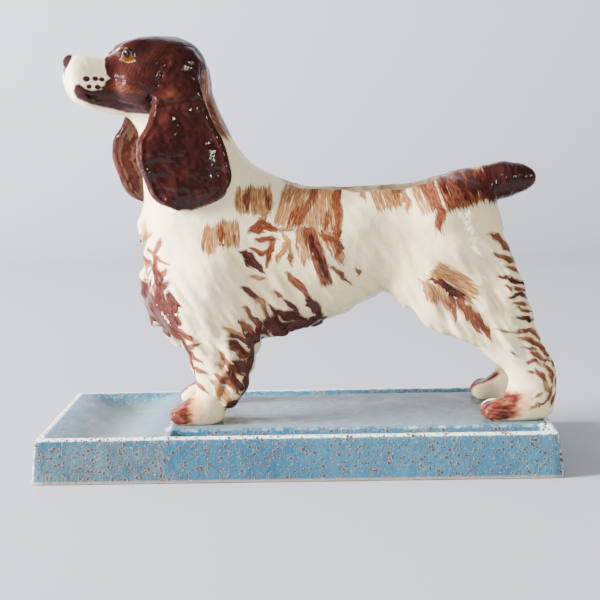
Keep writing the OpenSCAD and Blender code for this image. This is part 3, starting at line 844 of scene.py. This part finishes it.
def mark_face(piece, u, v, z):
    """Where the painted shade in the creases, the nose, the whisker dots, the eyes and the painted
    highlight on the pupil go.
    """
    # painted shade in the crease behind the eye and in the groove in front of the ear
    crease_shade = np.maximum(brush_mark(u, z, 0.7, EYE_CREASE_SHADE)[0], brush_mark(u, z, 0.6, EAR_GROOVE_SHADE)[0])
    add_value(piece, "crease_shade", crease_shade)
    nose = 1 - np.sqrt(((u - 60.2) / 4.4) ** 2 + (v / 6.4) ** 2 + ((z - 198.4) / 5.1) ** 2)
    groove = np.minimum(0.7 - np.abs(v), np.minimum(z - 191.6, 196.5 - z))
    add_value(piece, "nose", np.maximum(nose * 3.5, np.where(u > 58, groove, -FULL)))
    dots = [r - np.hypot((u - du) * 0.8, z - dz) for du, dz, r in WHISKER_DOTS]
    add_value(piece, "dots", np.maximum.reduce(dots))
    eye = polygon_inside(u, z, EYE)
    add_value(piece, "eye", np.clip(eye, -4, 4))
    add_value(piece, "pupil", 1.7 - np.hypot(u - PUPIL[0], (z - PUPIL[1]) * 0.78))
    # a painted highlight: a pale bluish spot up and forward of the pupil
    add_value(piece, "glint", 0.6 - np.hypot(u - PUPIL[0] - 0.7, z - PUPIL[1] - 0.9))


def paint_ear(piece, points, normals):
    """Dark all over, with a golden place near the root of the left ear."""
    paint = Paint(points, normals)
    paint.lay(DARK, np.full(len(points), FULL), True, paint.x, paint.z)
    golden = 1 - np.hypot((paint.x + 55) / 6, (paint.z - 182) / 3.2)
    store_paint(piece, paint, golden=np.where(paint.y < 0, golden, -1))


# ---- the dog's pieces ----


def build_dog_piece(name, low, high, step, territory, paint, hollow=None):
    """Mesh and paint one casting: the part of the dog that lies in its territory."""
    block = Block(low, high, step)
    full = dog_field(block)
    region = np.broadcast_to(territory(block), block.shape).astype(np.float32)
    if hollow is not None:
        full = smooth_cut(full, hollow(block), 1.2)
    points, faces, corner_normal = skin_mesh(full, region, block)
    piece = make_object(name, points, faces, corner_normal)
    paint(piece, points, vertex_normals(points, faces, corner_normal))
    return piece


def vertex_normals(points, faces, corner_normal):
    """The mean of the normals of the face corners that meet at each vertex."""
    total = np.zeros_like(points)
    for corner in range(4):
        np.add.at(total, faces[:, corner], corner_normal[:, corner])
    return total / np.maximum(np.linalg.norm(total, axis=1, keepdims=True), 1e-9)


def in_legs(block, side, z_top, inner, x_low, x_high):
    """The territory of one leg, below the line where it is luted on."""
    return np.maximum.reduce(np.broadcast_arrays(
        block.z - z_top, inner - side * block.y, x_low - block.x, block.x - x_high))


def fore_territory(side):
    return lambda block: in_legs(block, side, FORE_TOP, inner=9, x_low=-90, x_high=-13)


def hind_territory(side):
    return lambda block: in_legs(block, side, HIND_TOP, inner=3, x_low=40, x_high=140)


def tail_territory(block):
    """Beyond a slanted joint across the root of the tail."""
    return -(0.94 * (block.x - TAIL_JOINT_X) + 0.34 * (block.z - TAIL_JOINT_Z))


def torso_territory(block):
    """Whatever the head, legs and tail leave."""
    region = block.z - NECK_Z
    for side in (-1, 1):
        region = np.maximum(region, -fore_territory(side)(block))
        region = np.maximum(region, -hind_territory(side)(block))
    return np.maximum(region, -tail_territory(block))


def slot_distance(x, y):
    """How far outside the rounded slot in the back a place is, seen from above."""
    along = np.maximum(np.abs(x - SLOT_MIDDLE) - (SLOT_REACH - SLOT_HALF_WIDTH), 0)
    return np.sqrt(along ** 2 + y ** 2) - SLOT_HALF_WIDTH


def torso_hollow(block):
    """The pocket inside the body, open along the back."""
    inside = barrel_field(block) + WALL
    inside = np.maximum(inside, block.x - POCKET_BACK)
    inside = np.maximum(inside, POCKET_FRONT - block.x)
    slot = np.maximum(slot_distance(block.x, block.y), SLOT_BOTTOM - block.z)
    return smooth_union(inside, slot, 2)


def build_ear(name, side, low, high, step):
    """An ear, filleted into the skull at its root and lying on the neck below."""
    block = Block(low, high, step)
    dog = dog_field(block)
    fillet = 0.6 + 5 * np.clip((block.z - 178) / 18, 0, 1)
    full = smooth_union(ear_field(block, side), dog, fillet)
    sunk, proud = 0.25, 0.06
    region = np.maximum(-(dog + sunk), full - dog + proud)
    points, faces, corner_normal = skin_mesh(full, region, block)
    piece = make_object(name, points, faces, corner_normal)
    paint_ear(piece, points, vertex_normals(points, faces, corner_normal))
    return piece


def build_pieces():
    """Every piece, with its glaze, on the frame's node of the same casting."""
    pieces = {}
    pieces["left_ear"] = build_ear("left_ear_casting", -1, (-82, -44, 124), (-22, -8, 208), HEAD_STEP)
    pieces["right_ear"] = build_ear(
        "right_ear_casting", 1, (-104, 2, 124), (-36, 40, 208), HEAD_STEP)
    pieces["torso_shell"] = build_dog_piece(
        "torso_casting", (-84, -40, 48), (114, 40, NECK_Z + 2), TORSO_STEP,
        torso_territory, paint_body, torso_hollow)
    pieces["head"] = build_dog_piece(
        "head_casting", (-118, -50, NECK_Z - 2), (-18, 34, 216), HEAD_STEP,
        lambda block: NECK_Z - block.z, paint_head)
    pieces["tail"] = build_dog_piece(
        "tail_casting", (88, -14, 120), (126, 14, 152), TAIL_STEP, tail_territory, paint_tail)
    for side, word in ((-1, "left"), (1, "right")):
        y_low, y_high = sorted((side * 7, side * 42))
        pieces[f"front_{word}_leg"] = build_dog_piece(
            f"front_{word}_casting", (-88, y_low, PAD_Z - 2), (-10, y_high, FORE_TOP + 2),
            LEG_STEP, fore_territory(side), paint_body)
        y_low, y_high = sorted((side * 1, side * 42))
        pieces[f"hind_{word}_leg"] = build_dog_piece(
            f"hind_{word}_casting", (38, y_low, PAD_Z - 2), (132, y_high, HIND_TOP + 2),
            LEG_STEP, hind_territory(side), paint_body)
    pieces["base_tray"] = build_tray()
    painted_body, cap, ear = body_material(), cap_material(), ear_material()
    materials = {"base_tray": tray_material(), "head": cap, "left_ear": ear, "right_ear": ear,
                 "tail": tail_material()}
    for node, piece in pieces.items():
        piece.data.materials.append(materials.get(node, painted_body))
        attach(piece, "root")
        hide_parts(node)


# ---- the tray ----

RIM_Z = PAD_Z - 0.5
RIM_X, RIM_Y = TRAY_HIGH[0] - 6.0, TRAY_HIGH[1] - 6.0      # the rim's inner edge
PAD = (-62.0, -39.0, RIM_X, 37.5)                          # left, front, right, back
DISH = (-RIM_X + 0.5, PAD[0] - 1)
DISH_DEPTH, TROUGH_DEPTH = 7.0, 3.5
CORNER = 6.5                                               # how much of each corner is rounded
FLAT_FROM = 5.6                                            # inset where the level top begins
# [inset from the foot's outline, height] up the side and over its rounded edge
SIDE = [(1.4, 0.0), (0.5, 0.3), (0.16, 0.9), (0.3, 2.0), (0.77, 5.0), (1.38, 9.0), (2.0, 13.0),
        (2.6, 17.0), (2.95, 19.2), (3.12, 20.2), (3.36, 20.85), (3.75, 21.25), (4.3, 21.45), (5.0, 21.5)]


def soft_step(t):
    """An eased step from 0 to 1 as t goes from 0 to 1."""
    t = np.clip(t, 0, 1)
    return t * t * (3 - 2 * t)


def grid_lines(low, high, busy):
    """Places from low to high: close together where the surface is busy, else far apart."""
    lines, place = [], low
    while place < high - 0.05:
        lines.append(place)
        ahead = [a - place for a, b in busy if a > place + 0.05]
        step = 0.3 if any(a - 0.05 <= place < b for a, b in busy) else min([2.4] + ahead)
        place += step
    return lines + [high]


def box_inside(x, y, box, corner):
    """How far inside a rounded rectangle (left, front, right, back) a place is."""
    qx = np.abs(x - (box[0] + box[2]) / 2) - (box[2] - box[0]) / 2 + corner
    qy = np.abs(y - (box[1] + box[3]) / 2) - (box[3] - box[1]) / 2 + corner
    outside = np.hypot(np.maximum(qx, 0), np.maximum(qy, 0)) + np.minimum(np.maximum(qx, qy), 0)
    return corner - outside


def tray_inside(x, y):
    """How far inside the rim a place is."""
    return box_inside(x, y, (-RIM_X, -RIM_Y, RIM_X, RIM_Y), 3.5)


def tray_top(x, y):
    """Height of the tray's upper face: rim, coin dish, trough and standing pad."""
    inner, pad = tray_inside(x, y), box_inside(x, y, PAD, 3)
    t = np.clip((x - DISH[0]) / (DISH[1] - DISH[0]), 0, 1)
    wall = RIM_Y - np.abs(y)
    bowl = DISH_DEPTH / 2 * (1 - np.cos(2 * np.pi * t)) * soft_step(wall / 6.5) ** 0.8
    trough = TROUGH_DEPTH * soft_step(inner / 1.7) * soft_step((x - PAD[0] - 2) / 2.2)
    trough = trough * (1 - soft_step((pad + 1.5) / 1.7))
    ripple = 0.12 * noise(x / 16, y / 16, 0, 21) * soft_step(inner / 4)
    return RIM_Z - bowl - trough + 0.5 * soft_step((pad + 0.3) / 1.0) + ripple


def round_corner(x, y):
    """Ease the corners of the plan grid towards quarter circles."""
    cx, cy = TRAY_HIGH[0] - CORNER, TRAY_HIGH[1] - CORNER
    u = np.clip((np.abs(x) - cx) / CORNER, 0, 1)
    v = np.clip((np.abs(y) - cy) / CORNER, 0, 1)
    shrink = 0.7
    du = u * (1 - np.sqrt(1 - v * v / 2)) * CORNER * shrink
    dv = v * (1 - np.sqrt(1 - u * u / 2)) * CORNER * shrink
    return x - np.sign(x) * du, y - np.sign(y) * dv


def build_tray():
    """One skin: sides, rounded rim and everything inside it."""
    side_z = [z for _, z in SIDE]
    busy_x = [(-RIM_X - 0.6, -RIM_X + 1.8), (-64.5, -57.6), (RIM_X - 3.6, RIM_X + 0.6)]
    busy_y = [(-RIM_Y - 0.6, -RIM_Y + 1.8), (PAD[1] - 1.8, PAD[1] + 0.9),
              (PAD[3] - 0.9, PAD[3] + 1.8), (RIM_Y - 1.8, RIM_Y + 0.6)]
    places, heights = [], []
    for reach, busy in ((TRAY_HIGH[0], busy_x), (TRAY_HIGH[1], busy_y)):
        middle = grid_lines(-reach + FLAT_FROM, reach - FLAT_FROM, busy)
        outer = [reach - inset for inset, _ in SIDE]
        places.append(np.array([-p for p in outer] + middle + outer[::-1]))
        heights.append(np.array(side_z + [99] * len(middle) + side_z[::-1]))
    x, y = np.meshgrid(places[0], places[1], indexing="ij")
    side = np.minimum.outer(heights[0], heights[1])
    x, y = round_corner(x, y)
    z = np.where(side > 50, tray_top(x, y), side)
    points = np.stack([x, y, z], axis=-1).reshape(-1, 3)
    rows, columns = x.shape
    index = np.arange(rows * columns).reshape(rows, columns)
    faces = np.stack([index[:-1, :-1], index[1:, :-1], index[1:, 1:], index[:-1, 1:]], axis=-1)
    faces = faces.reshape(-1, 4)
    loop = np.concatenate([index[:, 0], index[-1, 1:], index[-2::-1, -1], index[0, -2:0:-1]])
    mesh = bpy.data.meshes.new("tray_casting")
    mesh.from_pydata((points * MM).tolist(), [], faces.tolist() + [loop[::-1].tolist()])
    mesh.shade_smooth()
    mesh.polygons[len(mesh.polygons) - 1].use_smooth = False
    tray = link_object("tray_casting", mesh)
    mark_tray(tray, *points.T)
    return tray


def mark_tray(tray, x, y, z):
    """Where the glaze breaks thin and pale, where it is speckled, and where the foot is bare."""
    inner, pad = tray_inside(x, y), box_inside(x, y, PAD, 3)
    rim = soft_step((z - 19.9) / 0.9) * soft_step((0.9 - inner) / 1.2)
    crest = soft_step(1 - np.abs(x - PAD[0] + 0.5) / 3) * (z > 17)
    pad_edge = soft_step(1 - np.abs(pad + 0.1) / 1.3) * (z > 20.6)
    corner = np.minimum(TRAY_HIGH[0] - np.abs(x), TRAY_HIGH[1] - np.abs(y))
    corner = np.hypot(TRAY_HIGH[0] - np.abs(x) - corner, TRAY_HIGH[1] - np.abs(y) - corner)
    upright = soft_step(1 - corner / 2.2) * (inner < 0) * 0.6
    mitre = soft_step(1.2 - np.hypot(x - RIM_X + 2.5, (y - PAD[1] + 0.8) * 0.8) / 2.6)
    add_value(tray, "edge", np.maximum.reduce([rim, crest * 0.55, pad_edge * 0.4, upright, mitre]))
    outside = soft_step(-(inner + 2.5) / 1)
    riser = soft_step(1 - np.abs(pad + 0.8) / 1.6)
    walls = soft_step((5.5 - inner) / 2.5) * (inner > 0)
    rear = 1 - 0.7 * soft_step((y - PAD[3] - 1) / 2)
    add_value(tray, "speck", np.maximum.reduce([outside, riser * 0.8, walls * 0.75, rim]) * rear)
    add_value(tray, "foot", soft_step((1.15 - z) / 0.5))
    # painted reflection: the standing pad's floor and the dish's bottom are marked to turn greyer
    dish = soft_step((RIM_Z - 2.5 - z) / 3) * (x < PAD[0])
    add_value(tray, "grey_reflection", np.maximum(soft_step((pad - 1) / 6), dish))


# ---- materials ----


class Graph:
    """Short ways to build one material's nodes."""

    def __init__(self, name):
        self.material = bpy.data.materials.new(name)
        self.material.use_nodes = True
        self.tree = self.material.node_tree
        self.shader = self.tree.nodes["Principled BSDF"]
        self.place = self.tree.nodes.new("ShaderNodeTexCoord").outputs["Object"]

    def put(self, value, socket):
        """Link a socket to another, or set its value or colour."""
        if isinstance(value, bpy.types.NodeSocket):
            self.tree.links.new(value, socket)
        elif isinstance(value, tuple) and socket.type == "RGBA":
            socket.default_value = (*value, 1)
        else:
            socket.default_value = value

    def node(self, kind, output, inputs, **settings):
        """Add a node and give one of its outputs."""
        node = self.tree.nodes.new("ShaderNode" + kind)
        for key, value in settings.items():
            setattr(node, key, value)
        for key, value in inputs.items():
            self.put(value, node.inputs[key])
        return node.outputs[output]

    def math(self, operation, a, b=0.0, c=0.0):
        return self.node("Math", 0, {0: a, 1: b, 2: c}, operation=operation)

    def plus(self, a, b, share):
        """a and a share of b."""
        return self.math("ADD", a, self.math("MULTIPLY", b, share))

    def value(self, name):
        return self.node("Attribute", "Fac", {}, attribute_name=name)

    def noise(self, scale, detail=2.0, place=None):
        return self.node("TexNoise", 0, {"Vector": place or self.place, "Scale": scale, "Detail": detail})

    def step(self, value, low, high, to_low=0.0, to_high=1.0):
        inputs = {"Value": value, "From Min": low, "From Max": high, "To Min": to_low, "To Max": to_high}
        return self.node("MapRange", 0, inputs, interpolation_type="SMOOTHSTEP")

    def mix(self, amount, a, b):
        return self.node("Mix", 2, {0: amount, 6: a, 7: b}, data_type="RGBA")

    def tint(self, colour, value, low, high, tone, most=1.0):
        """Lay a tone over a colour as a value passes from low to high."""
        return self.mix(self.step(value, low, high, 0, most), colour, tone)

    def mark(self, colour, name, low, high, tone):
        """Lay a tone over a colour where a piece's stored value is high."""
        return self.tint(colour, self.value(name), low, high, tone)

    def bump(self, height, depth):
        normal = self.node("Bump", 0, {"Distance": depth, "Height": height})
        self.put(normal, self.shader.inputs["Normal"])


def brush_hair(graph, fine, long_share, shift):
    """Noise drawn out along the brush, from the across and along places."""
    across = graph.math("MULTIPLY_ADD", graph.value("across"), fine, shift)
    along = graph.math("MULTIPLY", graph.value("along"), fine * long_share)
    place = graph.node("CombineXYZ", 0, {0: across, 1: along, 2: shift})
    return graph.noise(1.0, 2.0, place)


# two tones of each paint, mixed in fine streaks
TONES = {LIGHT: ((0.38, 0.195, 0.080), (0.21, 0.083, 0.028)),
         MIDDLE: ((0.20, 0.068, 0.030), (0.095, 0.024, 0.012)),
         DARK: ((0.085, 0.020, 0.013), (0.030, 0.0070, 0.0060))}
HEAD_TONES = {**TONES, MIDDLE: ((0.105, 0.026, 0.012), (0.050, 0.011, 0.007))}
# how far inside a mark, in millimetres, it is as solid as it gets
SOLID = {LIGHT: 1.5, MIDDLE: 2.2, DARK: 3.2}
EDGE = 1.3                                    # half the width over which a mark fades out


def painted(graph, colour, roughness, tones):
    """Lay the light, middle and dark brush marks over a colour, with ragged ends.
    Returns the colour, how far it is covered, and the brush hairs."""
    hair = brush_hair(graph, 1.15, 0.09, 3.7)
    fleck = brush_hair(graph, 2.2, 0.12, 9.1)
    ragged = graph.math("MULTIPLY", graph.math("SUBTRACT", hair, 0.5), roughness)
    cover = None
    for name in (LIGHT, MIDDLE, DARK):
        inside = graph.math("MINIMUM", graph.value(name), SOLID[name])
        mask = graph.step(graph.math("ADD", inside, ragged), -EDGE, EDGE)
        tone = graph.mix(graph.step(fleck, 0.36, 0.62), *tones[name])
        colour = graph.mix(mask, colour, tone)
        cover = mask if cover is None else graph.math("MAXIMUM", cover, mask)
    return colour, cover, hair


def cream(graph):
    """Cream glaze with pink, yellow and green drifts in it."""
    base = graph.tint((0.74, 0.58, 0.33), graph.noise(16, 3), 0.35, 0.65, (0.80, 0.68, 0.46))
    pink = graph.tint(base, graph.noise(37, 2), 0.52, 0.72, (0.82, 0.63, 0.47), 0.45)
    return graph.tint(pink, graph.noise(55, 2), 0.56, 0.70, (0.68, 0.67, 0.27), 0.6)


def glaze(graph, colour, bumps, depth):
    """A glossy, slightly uneven glaze over a colour."""
    shader = graph.shader.inputs
    graph.put(colour, shader["Base Color"])
    graph.put(graph.step(graph.noise(120, 3), 0.3, 0.7, 0.08, 0.2), shader["Roughness"])
    shader["IOR"].default_value = 1.42
    shader["Specular IOR Level"].default_value = 0.3
    graph.bump(bumps, depth)
    return graph.material


def relief(graph, hair, cover):
    """Small waves everywhere, and the brush's ridges where there is paint."""
    return graph.plus(graph.noise(150, 3), graph.math("MULTIPLY", hair, cover), 0.5)


def body_material():
    """Painted cream glaze, with orange and maroon on the toes."""
    graph = Graph("cream_painted_glaze")
    colour, cover, hair = painted(graph, cream(graph), 8.0, TONES)
    strokes = graph.node("Mapping", 0, {"Vector": graph.place, "Scale": (0.3, 1.0, 1.0)})
    bristle = graph.noise(700, 2, strokes)
    paw = graph.plus(graph.value("paw"), bristle, 0.5)
    colour = graph.tint(colour, paw, 0.3, 1.2, (0.50, 0.20, 0.08))
    maroon = graph.tint((0.11, 0.023, 0.018), bristle, 0.3, 0.7, (0.058, 0.012, 0.010))
    colour = graph.tint(colour, paw, 0.85, 1.3, maroon)
    return glaze(graph, colour, relief(graph, hair, cover), 0.0006)


def chestnut(graph, fleck=0.3):
    """Deep purplish brown that clears to red where the glaze lies thin."""
    base = graph.tint((0.027, 0.0078, 0.0070), graph.noise(45, 3), 0.38, 0.68, (0.047, 0.0120, 0.0092))
    return graph.tint(base, graph.noise(160, 3), 0.55, 0.8, (0.070, 0.015, 0.010), fleck)


def cap_material():
    """The head: chestnut cap, cream muzzle, and the features painted on them, with painted shade in the
    creases and a painted highlight on the eye.
    """
    graph = Graph("chestnut_head_glaze")
    colour, cover, hair = painted(graph, cream(graph), 1.2, HEAD_TONES)
    amber = graph.mix(graph.noise(900, 2), (0.42, 0.14, 0.015), (0.20, 0.05, 0.006))
    for name, low, high, tone in (
            (DARK, -0.15, 0.3, chestnut(graph)),
            # painted shade in the creases
            ("crease_shade", -0.3, 0.4, (0.022, 0.010, 0.010)),
            ("nose", -0.2, 0.3, (0.024, 0.008, 0.010)),
            ("dots", -0.25, 0.25, (0.045, 0.012, 0.012)),
            ("eye", -0.6, -0.3, (0.02, 0.008, 0.008)),
            ("eye", -0.3, -0.1, (0.36, 0.25, 0.15)),
            ("eye", -0.08, 0.15, amber),
            ("pupil", -0.2, 0.25, (0.012, 0.016, 0.022)),
            # painted highlight on the pupil
            ("glint", -0.2, 0.2, (0.5, 0.62, 0.68))):
        colour = graph.mark(colour, name, low, high, tone)
    return glaze(graph, colour, relief(graph, hair, cover), 0.0006)


def ear_material():
    """Lumpy chestnut glaze, warmer at the golden place."""
    graph = Graph("chestnut_ear_glaze")
    gold = graph.plus(graph.value("golden"), graph.noise(500, 2), 0.5)
    colour = graph.tint(chestnut(graph, 0.75), gold, 0.2, 1.3, (0.085, 0.026, 0.012))
    return glaze(graph, colour, graph.plus(graph.noise(95, 2), graph.noise(240, 2), 0.2), 0.0034)


def tail_material():
    """Chestnut glaze with darker rings."""
    graph = Graph("chestnut_tail_glaze")
    stretch = graph.node("Mapping", 0, {"Vector": graph.place, "Rotation": (0, 0.3, 0),
                                        "Scale": (1.0, 0.25, 0.25)})
    rings = graph.noise(420, 2, stretch)
    colour = graph.tint(chestnut(graph), rings, 0.4, 0.62, (0.026, 0.008, 0.0075))
    return glaze(graph, colour, rings, 0.0012)


def speckles(graph, cells, size, seed):
    """Round iron spots of uneven size: one for some of the cells."""
    shifted = graph.node("VectorMath", 0, {0: graph.place, 1: (seed, seed * 0.7, seed * 0.3)},
                         operation="ADD")
    ruffled = graph.node("TexNoise", "Color", {"Vector": shifted, "Scale": cells * 2.5, "Detail": 1.0})
    offset = graph.node("VectorMath", 0, {0: ruffled, 1: (0.45 / cells,) * 3}, operation="MULTIPLY")
    place = graph.node("VectorMath", 0, {0: shifted, 1: offset}, operation="ADD")
    spot = graph.tree.nodes.new("ShaderNodeTexVoronoi")
    graph.put(place, spot.inputs["Vector"])
    spot.inputs["Scale"].default_value = cells
    lot = graph.node("SeparateColor", 0, {0: spot.outputs["Color"]})
    radius = graph.math("MULTIPLY", graph.math("SUBTRACT", lot, 1 - size[1]), size[0])
    near = graph.math("SUBTRACT", radius, spot.outputs["Distance"])
    return graph.math("MULTIPLY", near, graph.value("speck"))


def tray_material():
    """Speckled blue glaze, greyer on the flat floors where a reflection is painted, pale on the edges and
    bare on the foot.
    """
    graph = Graph("blue_speckled_glaze")
    drift, fine = graph.noise(22, 3), graph.noise(90, 4)
    blue = graph.tint((0.022, 0.100, 0.170), drift, 0.35, 0.68, (0.040, 0.142, 0.218))
    blue = graph.tint(blue, fine, 0.5, 0.75, (0.017, 0.080, 0.148), 0.5)
    grey = graph.tint((0.050, 0.100, 0.126), fine, 0.4, 0.62, (0.072, 0.138, 0.166))
    # painted reflection: grey laid over the flat floors
    colour = graph.mix(graph.math("MULTIPLY", graph.value("grey_reflection"), 0.8), blue, grey)
    broken = graph.math("MULTIPLY_ADD", graph.noise(260, 3), 1.1, -0.55)
    edge = graph.math("ADD", graph.value("edge"), broken)
    colour = graph.tint(colour, edge, 0.25, 0.95, (0.76, 0.80, 0.80), 0.85)
    halo = None
    for cells, size, seed in ((520, (0.55, 0.95), 0.0), (290, (0.5, 0.6), 3.1), (900, (0.6, 0.95), 7.7)):
        spot = speckles(graph, cells, size, seed)
        halo = spot if halo is None else graph.math("MAXIMUM", halo, spot)
    colour = graph.tint(colour, halo, -0.03, 0.05, (0.36, 0.27, 0.21), 0.55)
    colour = graph.tint(colour, halo, 0.03, 0.12, (0.075, 0.045, 0.034))
    colour = graph.mix(graph.value("foot"), colour, (0.62, 0.50, 0.36))
    shader = graph.shader.inputs
    graph.put(colour, shader["Base Color"])
    graph.put(graph.step(fine, 0.3, 0.7, 0.24, 0.42), shader["Roughness"])
    shader["Specular IOR Level"].default_value = 0.3
    graph.bump(graph.plus(graph.noise(180, 3), graph.step(halo, 0, 0.1), 0.2), 0.0005)
    return graph.material


# ---- camera, floor and light, in metres ----

DOG_MIDDLE = Vector((0, 0, 0.1))
CAMERA_PLACE = Vector((0.0206, -0.6619, 0.1707))
CAMERA_TURN, CAMERA_TILT, CAMERA_ROLL = math.radians(-1.61), math.radians(7.91), math.radians(-1.26)
SENSOR, FOCAL_LENGTH = 36, 79.26              # in millimetres
FLOOR_FRONT, FLOOR_BACK, FLOOR_HALF_WIDTH = -2.4, 0.9, 2.4
WALL_BEND, WALL_TOP, BEND_STEPS = 0.5, 3.0, 12
ROOM_LIGHT = 0.13                             # how strongly the room itself lights the piece
ROOM_SEEN = 0.8                               # how much brighter the camera sees it


def add_camera():
    """The view from in front of the dog's left side, a little above its back."""
    level = math.cos(CAMERA_TILT)
    forward = Vector((math.sin(CAMERA_TURN) * level, math.cos(CAMERA_TURN) * level, -math.sin(CAMERA_TILT)))
    right = Vector((math.cos(CAMERA_TURN), -math.sin(CAMERA_TURN), 0))
    up = right.cross(forward)
    c, s = math.cos(CAMERA_ROLL), math.sin(CAMERA_ROLL)
    right, up = c * right + s * up, c * up - s * right
    data = bpy.data.cameras.new("camera")
    data.sensor_width = SENSOR
    data.lens = FOCAL_LENGTH
    data.clip_end = 50
    camera = link_object("camera", data)
    basis = Matrix((right, up, -forward)).transposed().to_4x4()
    basis.translation = CAMERA_PLACE
    camera.matrix_world = basis
    bpy.context.scene.camera = camera


def add_stage():
    """A pale table top that curves up into a grey-blue wall."""
    profile = [(FLOOR_FRONT, 0)]
    for i in range(BEND_STEPS + 1):
        angle = math.pi / 2 * i / BEND_STEPS
        profile.append((FLOOR_BACK + WALL_BEND * math.sin(angle), WALL_BEND * (1 - math.cos(angle))))
    profile.append((FLOOR_BACK + WALL_BEND, WALL_TOP))
    points = [(x, y, z) for y, z in profile for x in (-FLOOR_HALF_WIDTH, FLOOR_HALF_WIDTH)]
    faces = [(2 * i, 2 * i + 1, 2 * i + 3, 2 * i + 2) for i in range(len(profile) - 1)]
    mesh = bpy.data.meshes.new("stage")
    mesh.from_pydata(points, [], faces)
    mesh.shade_smooth()
    stage = link_object("stage", mesh)
    material = bpy.data.materials.new("stage")
    material.use_nodes = True
    shader = material.node_tree.nodes["Principled BSDF"]
    shader.inputs["Base Color"].default_value = (0.325, 0.34, 0.39, 1)
    shader.inputs["Roughness"].default_value = 0.6
    mesh.materials.append(material)


def add_light(name, place, size, power, colour, shows_in_glaze):
    """A soft panel aimed at the dog, either one that lights it or one that mirrors in the glaze."""
    data = bpy.data.lights.new(name, "AREA")
    data.shape = "RECTANGLE"
    data.size, data.size_y = size
    data.energy = power
    data.color = colour
    light = link_object(name, data)
    light.location = place
    aim = DOG_MIDDLE - Vector(place)
    light.rotation_euler = aim.to_track_quat("-Z", "Y").to_euler()
    light.visible_glossy = shows_in_glaze
    light.visible_diffuse = not shows_in_glaze


def add_lights():
    """Panels that light the dog, panels that only mirror in its glaze, and the room."""
    add_light("window", (-1.95, -0.3, 0.68), (0.8, 1.2), 500, (1.0, 0.98, 0.96), False)
    add_light("sky", (0.0, -0.1, 1.9), (1.4, 1.0), 14, (1.0, 0.99, 0.97), False)
    add_light("fill", (1.2, -1.6, 0.7), (0.9, 0.9), 31, (1.0, 0.98, 0.92), False)
    add_light("window_pane", (-1.5, -1.0, 0.8), (0.2, 0.8), 42, (0.96, 0.98, 1.0), True)
    add_light("far_window", (1.5, -1.3, 0.75), (0.24, 0.5), 32, (0.90, 1.0, 0.78), True)
    add_room()


def add_room():
    """A pale room that the camera sees brighter than it lights the piece."""
    world = bpy.data.worlds.new("room")
    world.use_nodes = True
    background = world.node_tree.nodes["Background"]
    background.inputs["Color"].default_value = (0.80, 0.82, 0.90, 1)
    seen = world.node_tree.nodes.new("ShaderNodeLightPath").outputs["Is Camera Ray"]
    strength = world.node_tree.nodes.new("ShaderNodeMath")
    strength.operation = "MULTIPLY_ADD"
    world.node_tree.links.new(seen, strength.inputs[0])
    strength.inputs[1].default_value = ROOM_SEEN
    strength.inputs[2].default_value = ROOM_LIGHT
    world.node_tree.links.new(strength.outputs[0], background.inputs["Strength"])
    bpy.context.scene.world = world


add_camera()
add_stage()
add_lights()
build_pieces()
